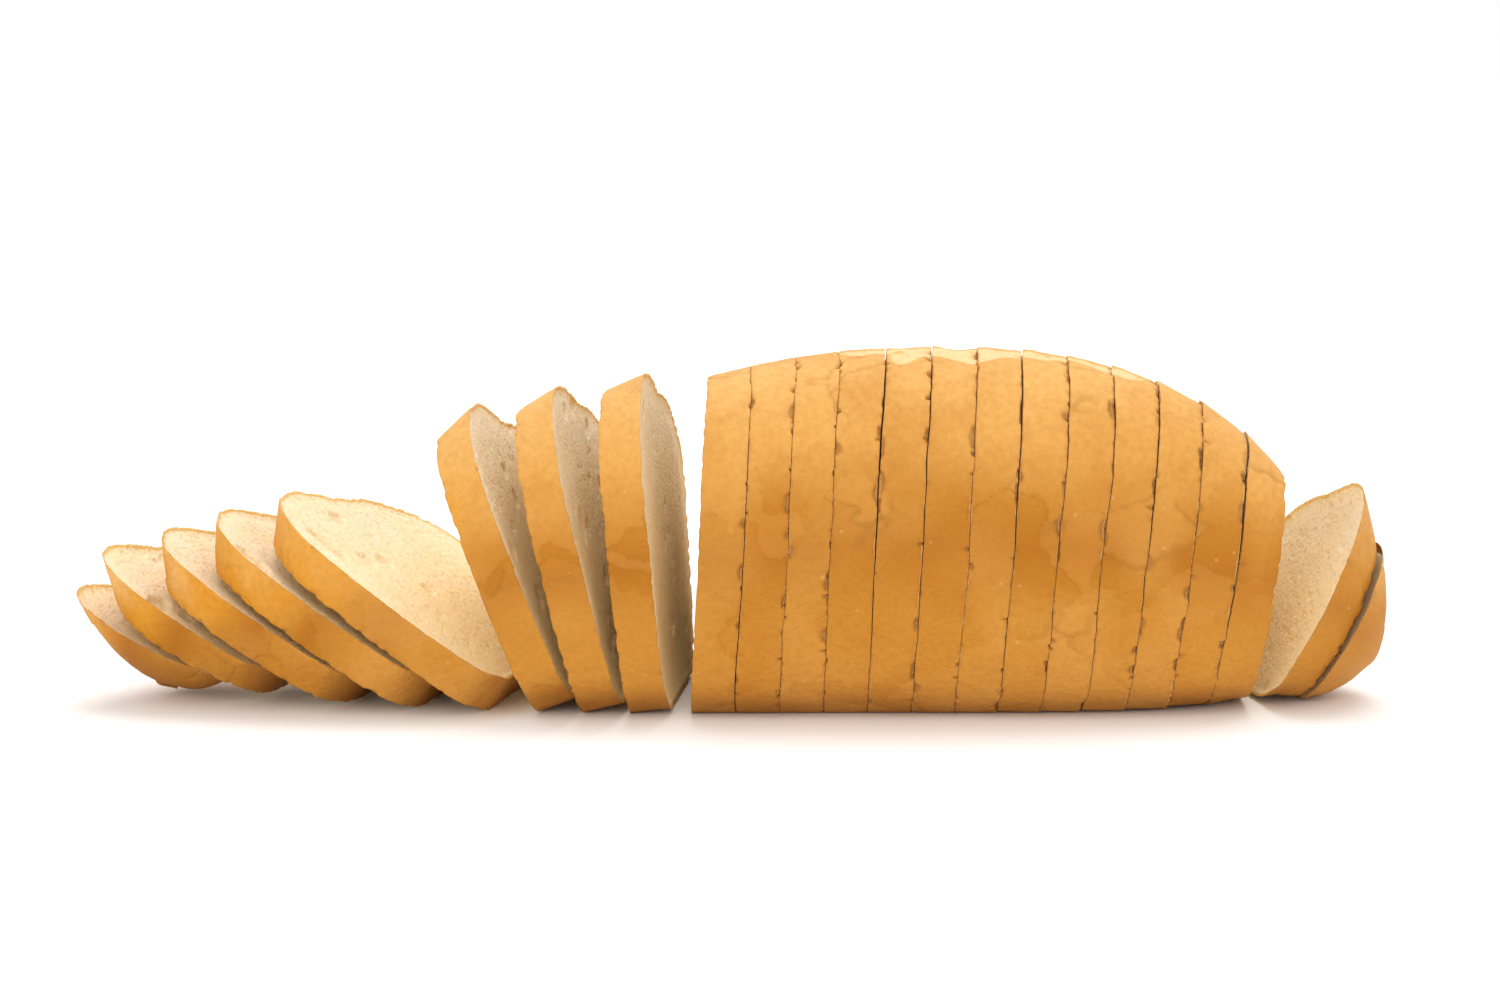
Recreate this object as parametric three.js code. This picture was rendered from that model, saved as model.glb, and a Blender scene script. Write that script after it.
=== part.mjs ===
// A white tin loaf, sliced from one end to the other, as it stands on a table: thirteen middle slices still
// stand together, the slices to the left have fanned out and fallen against each other, and the two last
// pieces on the right have tipped over. Each slice is one piece of bread, crust and crumb together.
//
// Millimetres, +Z up. +X runs along the loaf to the right and +Y to its far side. The origin is on the table,
// under the middle of the whole row of pieces.
import * as THREE from "three";
import { LoftGeometry } from "three/addons/geometries/LoftGeometry.js";

const { degToRad, lerp, smoothstep } = THREE.MathUtils;

// The whole loaf, before it was sliced
const sliceThickness = 11.4;
const sliceCount = 21; // between the two heels
const heelThickness = 16.5;
const loafLength = sliceCount * sliceThickness + 2 * heelThickness;
const loafWidth = 112; // across the shoulders
const baseWidth = 90; // across the flat underside
const loafHeight = 96; // over the middle of the base
const topFall = 0.27; // how steeply the top falls towards the far side, where the loaf rose less
const crestPeak = 0.12; // where the crest is highest, as a share of half the length right of the middle
const tipHeight = 22; // how high the loaf's rounded ends have their tips
const splitDepth = 2.5; // the split that opens along the crest in the oven
const splitWidth = 14;
const cutSlant = 2.2; // degrees by which the cuts lean to the right

// The shape of one outline: powers under 1 fill its corners out, and lower ones make them tighter
const shoulderCurve = 0.6;
const shoulderSpread = 0.75;
const baseCorner = 0.3; // in the middle of the loaf
const endCorner = 0.7; // at the loaf's ends, where the tin's corners are rounder
const cornerSpread = 0.3; // added to the corner's power across the loaf
const flareTop = 0.65; // the share of the height at which the sides stop flaring out

// How the pieces are set down
const touchGap = 0.3; // between a piece and the neighbour that it rests against
const outlinePoints = 48;
const heelRings = 7;

// The loaf's form. `along` is -1 at its left end, 0 in the middle and 1 at its right end.
const fullness = (along, power, root) => Math.pow(Math.max(0, 1 - Math.pow(Math.abs(along), power)), root);
const halfWidth = (along) => (loafWidth / 2) * fullness(along, 3.5, 0.5);
const halfBase = (along) => (baseWidth / 2) * fullness(along, 6, 1);
const underside = (along) => tipHeight - (tipHeight + 2) * fullness(along, 6, 0.5);
function crestHeight(along) {
  const fromPeak = (along - crestPeak) / (along < crestPeak ? 1 + crestPeak : 1 - crestPeak);
  const rounded = along < crestPeak ? fullness(fromPeak, 1.65, 0.58) : fullness(fromPeak, 2.5, 0.8);
  return tipHeight + (loafHeight - tipHeight) * rounded;
}

const signedPower = (value, power) => Math.sign(value) * Math.pow(Math.abs(value), power);

// One outline across the loaf, `station` millimetres from its left end, as a closed ring of points.
function outlineAt(station) {
  const along = (2 * station) / loafLength - 1;
  const top = crestHeight(along);
  const bottom = underside(along);
  const ring = [];
  for (let i = 0; i < outlinePoints; i++) {
    const angle = (2 * Math.PI * i) / outlinePoints;
    const up = Math.sin(angle);
    const corner = lerp(baseCorner, endCorner, Math.pow(along, 6));
    const roundness = up > 0 ? shoulderCurve : corner;
    const rise = 0.5 + 0.5 * signedPower(up, roundness);
    const flare = lerp(halfBase(along) / Math.max(halfWidth(along), 1e-6), 1, smoothstep(rise, 0, flareTop));
    const spread = up > 0 ? shoulderSpread : corner + cornerSpread;
    const y = halfWidth(along) * flare * signedPower(Math.cos(angle), spread);
    const split = up > 0 ? splitDepth * fullness(along, 4, 1) * Math.exp(-Math.pow(y / splitWidth, 2)) : 0;
    const z = Math.max(0, lerp(bottom, top, rise) - topFall * y * rise * rise - split);
    ring.push(new THREE.Vector3(station + z * Math.tan(degToRad(cutSlant)), y, z));
  }
  return ring;
}

// Closes the outlines at the given stations into one piece, with its own origin under the first of them.
function pieceGeometry(stations) {
  const geometry = new LoftGeometry(stations.map(outlineAt), { capStart: true, capEnd: true });
  return geometry.translate(-stations[0], 0, 0);
}

// A slice between two cuts: its crust runs from one outline to the next.
function sliceGeometry(number) {
  const start = heelThickness + (number - 1) * sliceThickness;
  return pieceGeometry([start, start + sliceThickness]);
}

// A heel: rings that close over the loaf's rounded end, spaced so that the dome is evenly divided.
function heelGeometry(side) {
  const stations = [];
  for (let i = 0; i < heelRings; i++) {
    const fromTip = heelThickness * Math.pow(1 - i / heelRings, 2);
    stations.push(side < 0 ? fromTip : loafLength - fromTip);
  }
  if (side < 0) stations.reverse();
  return pieceGeometry(stations);
}

// A heel shows almost only crust, and a slice shows its crust with pale crumb beside it.
function breadMaterial(isHeel) {
  const color = isHeel ? 0xcf8a35 : 0xe0a85a;
  const roughness = isHeel ? 0.7 : 0.85;
  return new THREE.MeshStandardMaterial({ color, roughness, metalness: 0 });
}

// Each piece from left to right: its lean from upright, and its turn about the vertical that shows its
// right-hand cut to someone in front of the loaf. Both are in degrees, and a lean to the left is negative.
// The last heel has also slipped a millimetre nearer to that person, and the first slice lies a
// little way up on the first heel.
const places = [
  { name: "heel_left", lean: -60, turn: 17 },
  { name: "slice_01", lean: -57.5, turn: 15, lift: 1.5 },
  { name: "slice_02", lean: -57, turn: 12 },
  { name: "slice_03", lean: -56, turn: 11 },
  { name: "slice_04", lean: -54, turn: 10 },
  { name: "slice_05", lean: -21.5, turn: 6 },
  { name: "slice_06", lean: -14, turn: 5.5 },
  { name: "slice_07", lean: -6.7, turn: 4.5 },
  { name: "slice_08", lean: 0.5, turn: 0 },
  { name: "slice_09", lean: 0, turn: 0 },
  { name: "slice_10", lean: 0, turn: 0 },
  { name: "slice_11", lean: 0, turn: 0 },
  { name: "slice_12", lean: 0.6, turn: 0 },
  { name: "slice_13", lean: 1, turn: 0 },
  { name: "slice_14", lean: 1.2, turn: 0 },
  { name: "slice_15", lean: 1.6, turn: 0 },
  { name: "slice_16", lean: 2, turn: 0 },
  { name: "slice_17", lean: 2.4, turn: 0 },
  { name: "slice_18", lean: 2.9, turn: 0 },
  { name: "slice_19", lean: 3.8, turn: 0 },
  { name: "slice_20", lean: 5, turn: 0 },
  { name: "slice_21", lean: 20.5, turn: -6 },
  { name: "heel_right", lean: 21.5, turn: -6, nearer: 1 },
];

function makePiece({ name, lean, turn, nearer = 0, lift = 0 }, number) {
  const isHeel = number === 0 || number === sliceCount + 1;
  const geometry = isHeel ? heelGeometry(number === 0 ? -1 : 1) : sliceGeometry(number);
  const mesh = new THREE.Mesh(geometry, breadMaterial(isHeel));
  mesh.name = name;
  mesh.rotation.set(0, degToRad(lean), -degToRad(turn), "ZYX");
  mesh.updateMatrixWorld(true);
  mesh.position.y = -nearer;
  mesh.position.z = lift - new THREE.Box3().setFromObject(mesh, true).min.z;
  mesh.updateMatrixWorld(true);
  return mesh;
}

const worldPoints = (mesh) => {
  const at = mesh.geometry.getAttribute("position");
  return Array.from({ length: at.count }, (_, i) =>
    new THREE.Vector3().fromBufferAttribute(at, i).applyMatrix4(mesh.matrixWorld),
  );
};

// The cuts of every piece face this way in its own frame.
const cutNormal = new THREE.Vector3(1, 0, -Math.tan(degToRad(cutSlant))).normalize();

// Slides a piece along X until it is touchGap from the piece on its left. Both have flat cuts, so they are
// clear of each other as soon as either cut, taken as a plane, has the two pieces on its two sides.
function restAgainst(piece, neighbour) {
  const own = worldPoints(piece);
  const other = worldPoints(neighbour);
  const slides = [piece, neighbour].map((owner) => {
    const normal = cutNormal.clone().transformDirection(owner.matrixWorld);
    const left = Math.max(...other.map((p) => p.dot(normal)));
    const right = Math.min(...own.map((p) => p.dot(normal)));
    return (left + touchGap - right) / normal.x;
  });
  piece.position.x += Math.min(...slides);
  piece.updateMatrixWorld(true);
}

const loaf = new THREE.Group();
const pieces = places.map(makePiece);
pieces.forEach((piece, i) => {
  if (i > 0) restAgainst(piece, pieces[i - 1]);
  loaf.add(piece);
});

const middle = new THREE.Box3().setFromObject(loaf, true).getCenter(new THREE.Vector3());
for (const piece of pieces) piece.position.sub(new THREE.Vector3(middle.x, middle.y, 0));

export default loaf;
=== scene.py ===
# %% [markdown]
# # A sliced white tin loaf
#
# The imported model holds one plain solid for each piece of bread: twenty-one slices and two heels. This lesson
# makes the loaf's looks around them. Every piece gets a new fine mesh in the same place, with a baked crust
# that runs on from slice to slice and a soft open crumb on its cuts, and two finishes made from nodes.

import math

import bpy
import numpy as np
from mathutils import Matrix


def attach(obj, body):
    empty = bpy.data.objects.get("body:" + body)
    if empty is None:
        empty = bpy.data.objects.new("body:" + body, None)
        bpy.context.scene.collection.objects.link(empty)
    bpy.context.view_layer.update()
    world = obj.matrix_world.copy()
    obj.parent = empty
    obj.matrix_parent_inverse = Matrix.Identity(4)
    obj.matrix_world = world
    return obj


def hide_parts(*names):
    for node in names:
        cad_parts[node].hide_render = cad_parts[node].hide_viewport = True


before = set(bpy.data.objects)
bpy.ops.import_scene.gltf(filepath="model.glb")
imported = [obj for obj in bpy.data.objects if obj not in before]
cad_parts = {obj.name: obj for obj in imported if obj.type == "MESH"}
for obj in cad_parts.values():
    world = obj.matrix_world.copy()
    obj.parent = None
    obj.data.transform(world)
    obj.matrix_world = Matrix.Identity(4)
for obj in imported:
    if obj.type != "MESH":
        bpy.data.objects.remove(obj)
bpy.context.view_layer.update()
MM = 0.001
print("pieces in the frame:", len(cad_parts))

# %% [markdown]
# ## Camera and light
#
# The loaf stands on a white table in a white room. A long lens from a little above keeps the slices almost
# parallel. The room lights the bread evenly. A soft sun from overhead and a little behind makes the crown
# bright and leaves the sides quieter, and a weaker one from low in front fills the rest. Suns with a wide
# angle are used instead of lamps near the loaf, because they light the table evenly as far as it reaches.

# %% Camera
scene = bpy.context.scene
VIEW_ELEVATION = math.radians(7.5)
VIEW_DISTANCE = 1.05
VIEW_TARGET = np.array([0.005, 0.0, 0.038])
LENS = 90.5
SENSOR_WIDTH = 36.0
LENS_SHIFT = 0.04  # leaves more room above the loaf than below it
NEAREST_SEEN = 0.05

camera = bpy.data.objects.new("camera", bpy.data.cameras.new("camera"))
scene.collection.objects.link(camera)
view_direction = np.array([0.0, math.cos(VIEW_ELEVATION), -math.sin(VIEW_ELEVATION)])
camera.location = VIEW_TARGET - VIEW_DISTANCE * view_direction
camera.rotation_euler = (math.pi / 2 - VIEW_ELEVATION, 0.0, 0.0)
camera.data.lens = LENS
camera.data.sensor_width = SENSOR_WIDTH
camera.data.shift_y = LENS_SHIFT
camera.data.clip_start = NEAREST_SEEN
scene.camera = camera
print("camera", [round(x, 3) for x in camera.location])

# %% Suns
scene.view_settings.view_transform = "Standard"


def sun(name, azimuth, height, strength, softness, colour):
    """A sun seen at an azimuth (0 in front of the loaf, 90 at its right) and a height, both in degrees."""
    light = bpy.data.lights.new(name, "SUN")
    light.energy = strength
    light.angle = math.radians(softness)
    light.color = colour
    lamp = bpy.data.objects.new(name, light)
    lamp.rotation_euler = (math.radians(90 - height), 0.0, math.radians(azimuth))
    scene.collection.objects.link(lamp)
    return lamp


sun("overhead", azimuth=158, height=70, strength=1.4, softness=45, colour=(1.0, 0.985, 0.97))
sun("front_fill", azimuth=-4, height=12, strength=1.05, softness=50, colour=(1.0, 0.99, 0.97))

# %% White room
ROOM_STRENGTH = 1.03
WHITE = (1.0, 1.0, 1.0, 1.0)

world = bpy.data.worlds.new("white_room")
world.use_nodes = True
world_nodes = world.node_tree.nodes
world_links = world.node_tree.links
room = world_nodes["Background"]
room.inputs["Color"].default_value = WHITE
room.inputs["Strength"].default_value = ROOM_STRENGTH
backdrop = world_nodes.new("ShaderNodeBackground")
backdrop.inputs["Color"].default_value = WHITE
seen = world_nodes.new("ShaderNodeLightPath")
either = world_nodes.new("ShaderNodeMixShader")
world_links.new(seen.outputs["Is Camera Ray"], either.inputs["Fac"])
world_links.new(room.outputs["Background"], either.inputs[1])
world_links.new(backdrop.outputs["Background"], either.inputs[2])
world_links.new(either.outputs["Shader"], world_nodes["World Output"].inputs["Surface"])
scene.world = world
print("world:", world.name, len(world_nodes), "nodes")

# %% [markdown]
# ## Noise made of arrays
#
# Bread has no two spots alike, so most of its shape comes from noise. Both kinds here work on whole arrays of
# places at once: soft lumps from a lattice of random values, and cells around scattered points, whose edges
# make the crust's cracks and whose round centres make the crumb's bubbles.

# %% Soft lumps
LATTICE = 32  # cells along each side of the lattice, after which the noise repeats
LUMP_SHIFT = 7.31  # cells by which each seed moves the lattice
lattice_values = np.random.default_rng(7).random((LATTICE, LATTICE, LATTICE))


def soft_step(x):
    """0 below 0, 1 above 1, and x * x * (3 - 2 * x) between them."""
    x = np.clip(x, 0, 1)
    return x * x * (3 - 2 * x)


def look_up(table, cell):
    """The table's entries at whole-number cells, which repeat every LATTICE cells."""
    return table[cell[..., 0] % LATTICE, cell[..., 1] % LATTICE, cell[..., 2] % LATTICE]


def lumps(places, size, seed=0):
    """Noise from 0 to 1 with lumps about `size` millimetres across.

    It mixes the eight lattice values around each place, each weighted by the soft step of its nearness."""
    scaled = places / size + LUMP_SHIFT * seed
    cell = np.floor(scaled).astype(int)
    weight = soft_step(scaled - cell)
    total = 0.0
    for corner in np.ndindex(2, 2, 2):
        share = np.where(corner, weight, 1 - weight).prod(axis=-1)
        total = total + share * look_up(lattice_values, cell + corner)
    return total


print("lattice of lumps:", lattice_values.shape)

# %% Cells and bubbles
CELL_SHIFT = 5.17  # cells by which each seed moves the scattered points
FAR_AWAY = 1e9
LARGEST_RADIUS = 0.55  # of a bubble, as a share of its cube
lattice_points = np.random.default_rng(8).random((LATTICE, LATTICE, LATTICE, 3))


def near_cells(places, size, seed=0):
    """Yields, for each of the 27 cubes of `size` millimetres near each place, the distance to its one
    scattered point in millimetres, and its random number from 0 to 1."""
    scaled = places / size + CELL_SHIFT * seed
    cell = np.floor(scaled).astype(int)
    for step in np.ndindex(3, 3, 3):
        cube = cell + np.array(step) - 1
        distance = np.linalg.norm(scaled - cube - look_up(lattice_points, cube), axis=-1)
        yield distance * size, look_up(lattice_values, cube)


def plates(places, size, seed=0):
    """The distance from each place to the edge of its cell, and the cell's random number.

    The edge is where the nearest and second-nearest points are equally far away."""
    first = np.full(places.shape[:-1], FAR_AWAY)
    second = first.copy()
    number = np.zeros_like(first)
    for distance, value in near_cells(places, size, seed):
        nearer = distance < first
        second = np.where(nearer, first, np.minimum(second, distance))
        number = np.where(nearer, value, number)
        first = np.where(nearer, distance, first)
    return (second - first) / 2, number


def bubbles(places, size, share, seed=0):
    """The depth in millimetres at which a cut opens round bubbles: sqrt(radius^2 - distance^2) inside one.

    Only `share` of the cubes hold a bubble, with a radius up to LARGEST_RADIUS of the cube's size."""
    depth = np.zeros(places.shape[:-1])
    for distance, value in near_cells(places, size, seed):
        radius = LARGEST_RADIUS * size * np.clip(value / share, 0, 1) * (value < share)
        depth = np.maximum(depth, np.sqrt(np.clip(radius**2 - distance**2, 0, None)))
    return depth


print("lattice of points:", lattice_points.shape)

# %% [markdown]
# ## Reading a piece of the frame
#
# Each solid in the frame is a stack of flat outlines between two cuts. They're recovered from its vertices:
# the cut's direction is that of its largest face, and the vertices at one distance along it are one outline.
# A smooth closed curve through each outline then gives as many points as the fine mesh needs.

# %% Axes and outlines of a piece
OUTLINE_GAP = 0.2  # millimetres along the loaf that part one outline's vertices from the next outline's


def read_piece(node):
    """A piece's three axes, and its outlines in millimetres along them.

    The axes are across (to the loaf's far side), up (along the cut) and along (square to the cut, to the
    right). Each outline is an array of (across, up) with its place along the third axis."""
    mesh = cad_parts[node].data
    points = np.empty(len(mesh.vertices) * 3)
    mesh.vertices.foreach_get("co", points)
    points = np.unique(points.reshape(-1, 3) / MM, axis=0)
    areas = np.empty(len(mesh.polygons))
    mesh.polygons.foreach_get("area", areas)
    normals = np.empty(len(mesh.polygons) * 3)
    mesh.polygons.foreach_get("normal", normals)
    along = normals.reshape(-1, 3)[areas.argmax()]
    along = along * np.sign(along[0])
    across = np.array([-along[1], along[0], 0.0])
    across /= np.linalg.norm(across)
    axes = np.array([across, np.cross(along, across), along])
    local = points @ axes.T
    local = local[local[:, 2].argsort()]
    breaks = np.flatnonzero(np.diff(local[:, 2]) > OUTLINE_GAP) + 1
    outlines = [(part[:, :2], part[:, 2].mean()) for part in np.split(local, breaks)]
    return axes, outlines


axes, outlines = read_piece("slice_10")
print("outlines of slice_10:", [(len(o), round(place, 1)) for o, place in outlines])

# %% A smooth curve through an outline
SIDE = 140  # points along each of the four sides of a slice's outline
AROUND = 4 * SIDE
CURVE_STEPS = 24  # steps of the curve between two neighbouring points of an outline


def closed_curve(points):
    """AROUND points, evenly spaced along a smooth closed curve through an outline's points.

    Between two points runs a cubic whose end slopes follow the neighbours (Catmull-Rom). The first point is
    an eighth of the way round before the middle of the base, so the four sides start at the four corners."""
    middle = (points.min(axis=0) + points.max(axis=0)) / 2
    order = np.arctan2(points[:, 1] - middle[1], points[:, 0] - middle[0]).argsort()
    knots = points[order]
    following = np.roll(knots, -1, axis=0)
    span = np.linalg.norm(following - knots, axis=1)[:, None]
    before = np.roll(span, 1, axis=0)
    slope = (following - knots) / span
    slope_before = np.roll(slope, 1, axis=0)
    tangent = (slope * before + slope_before * span) / (before + span)
    t = np.linspace(0, 1, CURVE_STEPS, endpoint=False)[None, :, None]
    start, end = knots[:, None], following[:, None]
    leave, arrive = (tangent * span)[:, None], (np.roll(tangent, -1, axis=0) * span)[:, None]
    fine = (1 + 2 * t) * (1 - t) ** 2 * start + t * (1 - t) ** 2 * leave
    fine = fine + t * t * (3 - 2 * t) * end + t * t * (t - 1) * arrive
    fine = fine.reshape(-1, 2)
    fine[:, 1] = fine[:, 1].clip(points[:, 1].min(), None)
    under = fine[:, 1] < middle[1]
    first = np.where(under, np.abs(fine[:, 0] - middle[0]), FAR_AWAY).argmin()
    fine = np.roll(fine, -first, axis=0)
    closed = np.vstack([fine, fine[:1]])
    length = np.concatenate([[0], np.linalg.norm(np.diff(closed, axis=0), axis=1).cumsum()])
    wanted = (np.arange(AROUND) / AROUND - 1 / 8) % 1 * length[-1]
    return np.stack([np.interp(wanted, length, closed[:, k]) for k in (0, 1)], axis=1)


print("points around slice_10:", closed_curve(outlines[0][0]).shape)

# %% [markdown]
# ## Where each piece was in the loaf
#
# The crust's colour and cracks belong to the whole loaf, so they must run on from one slice to the next. Each
# piece therefore knows its old place: its station along the loaf, counted from the first slice's left cut,
# with its own across and up. All patterns are worked out there, and only then does a piece get its lean.

# %% Stations along the loaf
SLICES = [f"slice_{number:02d}" for number in range(1, 22)]
PIECES = ["heel_left", *SLICES, "heel_right"]
STANDING = set(SLICES[7:20])  # slice_08 to slice_20 touch, so what lies between them is hardly seen
LEANS = [-np.arcsin(read_piece(name)[0][2][2]) for name in PIECES]  # to the right is positive, in radians
THICKNESS = outlines[-1][1] - outlines[0][1]
LOAF_HEIGHT = np.ptp(outlines[0][0][:, 1])


def first_cut(number, outlines):
    """The outline and place of a piece's left cut, or of the left heel's only cut."""
    return outlines[0 if number else -1]


def way_back(number, outlines):
    """A function that turns points of piece `number` into old places in the loaf: station, across and up.

    Slice 1 starts at station 0, and each next piece one thickness later. The left heel, number 0, lies apart
    from the others and counts from two thicknesses further left, so its crust has a pattern of its own."""
    outline, place = first_cut(number, outlines)
    start = place if number else place + THICKNESS
    middle = (outline[:, 0].min() + outline[:, 0].max()) / 2
    origin = np.array([middle, outline[:, 1].min(), 0.0])

    def in_loaf(points):
        moved = points - origin
        stations = (number - 1) * THICKNESS + points[..., 2] - start
        return np.stack([stations, moved[..., 0], moved[..., 1]], axis=-1)

    return in_loaf


print("slice thickness", round(THICKNESS, 2), "loaf height", round(LOAF_HEIGHT, 1))

# %% [markdown]
# ## Wavy cuts and soft slices
#
# A knife wanders a little on its way down, and the two pieces beside a cut share its wave. Flat faces would
# show ruled seams. The standing slices also lean by slightly different angles, which would leave open wedges
# between them, but soft bread sags against its neighbour. So each cut has a number, one wave that both its
# pieces follow, and a swelling that nearly fills the wedge. Cut 1 is between the left heel and slice_01.

# %% Wave and swelling of a cut
BROAD_WAVE, FINE_WAVE = 1.3, 0.6  # millimetres
BOW, BOW_REACH = 1.3, 22  # how far a cut's middle is pushed along the loaf, and how far the push reaches
OPEN_WAVE_SHARE = 0.3
INTO_GAP = 0.11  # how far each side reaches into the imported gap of 0.3, which leaves a thin line
WEDGE_SHARE, WEDGE_SHARE_VARIES = 0.33, 0.1


def is_cut(cut):
    """Whether a number is that of a cut. Number 0 is the left heel's tip, and the last is the right's."""
    return 0 < cut < len(PIECES)


def both_stand(cut):
    """Whether the pieces on both sides of a cut stand in the row."""
    return is_cut(cut) and STANDING.issuperset(PIECES[cut - 1 : cut + 1])


def cut_wave(cut, places):
    """How far the knife wandered to either side at a cut, in millimetres: broad and fine lumps, plus a bow of
    the form exp(-(across / reach)^2).

    Pieces that lie turned against each other have little room, so there the wave is low and has no bow."""
    on_cut = places.copy()
    on_cut[..., 0] = cut * THICKNESS
    wave = BROAD_WAVE * (lumps(on_cut, 30, 31) - 0.5) + FINE_WAVE * (lumps(on_cut, 8, 32) - 0.5)
    if not both_stand(cut):
        return OPEN_WAVE_SHARE * wave
    return wave + BOW * np.exp(-((places[..., 1] / BOW_REACH) ** 2))


def swelling(cut, places):
    """How far a standing slice reaches into the gap at a cut, in millimetres.

    The wedge there is height x sin(difference of the leans), and each side fills 23 to 43 % of it, by a share
    that differs from cut to cut."""
    if not both_stand(cut):
        return np.zeros(places.shape[:-1])
    opening = np.sin(LEANS[cut] - LEANS[cut - 1])
    height = places[..., 2] if opening > 0 else LOAF_HEIGHT - places[..., 2]
    share = WEDGE_SHARE + WEDGE_SHARE_VARIES * np.sin(2.4 * cut)
    return INTO_GAP + share * np.abs(opening) * height.clip(0, None)


print("cuts between standing slices:", sum(both_stand(cut) for cut in range(len(PIECES))))

# %% [markdown]
# ## The crust
#
# The crust is a thin baked skin. It is gently lumpy, its surface splits into plates that sit a little higher
# or lower than each other, and a few of their edges open into cracks. Along the crest it has split and shows
# pale bread, and the knife tears small chips out of its edges. All of this goes inwards from the packed
# outline, so no piece grows. A grid of outline points by columns across the slice holds it, because a band is
# the natural form of a slice's crust.

# %% Columns across a piece
COLUMNS = 17
HEEL_COLUMNS = 46


def skin_grid(outlines, columns):
    """Smooth outlines at `columns` places from the first to the last outline, as (around, column, 3).

    Between two outlines runs a cubic with the slope of their neighbours, which rounds a heel's dome. The
    columns lie closer together towards the cuts, where the crust is ragged."""
    rings = np.array([np.column_stack([closed_curve(o), np.full(AROUND, place)]) for o, place in outlines])
    slopes = np.gradient(rings, axis=0)
    even = np.linspace(0, 1, columns)
    t = (even + (1 - np.cos(math.pi * even)) / 2) / 2 * (len(rings) - 1)
    low = np.minimum(t.astype(int), len(rings) - 2)
    t = (t - low)[:, None, None]
    grid = (1 + 2 * t) * (1 - t) ** 2 * rings[low] + t * (1 - t) ** 2 * slopes[low]
    grid = grid + t * t * (3 - 2 * t) * rings[low + 1] + t * t * (t - 1) * slopes[low + 1]
    return grid.transpose(1, 0, 2)


def outward(grid):
    """Unit normals of a grid: the cross product of its directions around and along."""
    around = np.roll(grid, -1, axis=0) - np.roll(grid, 1, axis=0)
    normal = np.cross(around, np.gradient(grid, axis=1))
    return normal / np.linalg.norm(normal, axis=-1, keepdims=True)


print("grid of slice_10:", skin_grid(outlines, COLUMNS).shape)

# %% The split along the crest
SPLIT_ACROSS = 30  # the split's middle lies this far nearer than the loaf's middle
SPLIT_HALF_WIDTH = 9.5
SPLIT_STARTS, SPLIT_OPENS_OVER = 98, 30  # stations
SPLIT_ENDS, SPLIT_CLOSES_OVER = 212, 40
SPLIT_EDGE = 2.4


def crest_split(places):
    """Where the crust has split along the crest, from 0 to 1: soft_step((width - distance) / edge).

    Lumps bend its middle line and vary its width, and it narrows to nothing at both ends."""
    upper = places[..., 2] > 0.5 * LOAF_HEIGHT
    from_split = np.abs(places[..., 1] + SPLIT_ACROSS + 7 * (lumps(places, 9, 12) - 0.5))
    opening = soft_step((places[..., 0] - SPLIT_STARTS) / SPLIT_OPENS_OVER)
    along_split = opening * soft_step((SPLIT_ENDS - places[..., 0]) / SPLIT_CLOSES_OVER)
    width = SPLIT_HALF_WIDTH * along_split * (0.35 + 1.1 * lumps(places, 7, 18))
    return soft_step((width - from_split) / SPLIT_EDGE) * upper


print("split from station", SPLIT_STARTS, "to", SPLIT_ENDS)

# %% Relief and marks of the crust
CRUST_LUMPS = ((0.9, 24, 13), (0.36, 7, 14), (0.14, 1.9, 15))  # each a depth, a size and a seed
PLATE_SIZE = 44
PLATE_DEPTH, CRACK_DEPTH = 0.4, 0.3
CRACK_HALF_WIDTH = 0.7
FLAT_BASE, BASE_EDGE = 0.12, 2.5  # the base rests on the table, so it keeps only this share of the relief


def crust_relief(places):
    """How far the crust lies inside the outline, in millimetres, with its crack, plate and torn marks.

    Lumps of three sizes, plus a level for each plate, plus a groove where a plate's edge has opened, plus a
    ragged trough in the split. Two sizes of lumps bend the plates' edges."""
    bend = np.stack([lumps(places, 12, seed) for seed in (1, 2, 3)], axis=-1) - 0.5
    scallop = np.stack([lumps(places, 3.2, seed) for seed in (4, 5, 6)], axis=-1) - 0.5
    edge, level = plates((places + 15 * bend + 4 * scallop) * np.array([0.8, 1.0, 1.3]), PLATE_SIZE)
    opened = soft_step((lumps(places, 17, 9) - 0.56) * 8)
    crack = soft_step(1 - edge / CRACK_HALF_WIDTH) * opened
    torn = crest_split(places)
    relief = sum(depth * lumps(places, size, seed) for depth, size, seed in CRUST_LUMPS)
    relief = relief + PLATE_DEPTH * level + CRACK_DEPTH * crack
    relief = relief + torn * (0.6 + 1.1 * lumps(places, 2.4, 16))
    resting = soft_step(places[..., 2] / BASE_EDGE)
    return relief * (FLAT_BASE + (1 - FLAT_BASE) * resting), {"crack": crack, "plate": level, "torn": torn}


print("depth of the crust's lumps:", [depth for depth, size, seed in CRUST_LUMPS])

# %% Chips and ragged edges
CHIPS_LEFT, CHIPS_RIGHT = 12, 26  # on the two edges of a standing slice
CHIPS_OPEN = 5  # on each edge of the pieces that lie apart


def chips(around_mm, from_edge, length, count, rng):
    """Places where the knife tore the crust, from 0 to 1: soft half-ellipses at random points on the edge.

    One is soft_step(2.2 * (1 - sqrt((s / width)^2 + (e / depth)^2))) for a place s along the edge and e in
    from it."""
    centre = rng.random(count) * length
    width = 0.5 + 3.6 * rng.random(count) ** 2.5
    depth = 0.4 + 2.3 * rng.random(count) ** 2
    s = np.abs(around_mm[..., None] - centre)
    s = np.minimum(s, length - s)
    reach = np.sqrt((s / width) ** 2 + (from_edge[..., None] / depth) ** 2)
    return soft_step(2.2 * (1 - reach)).max(axis=-1)


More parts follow.
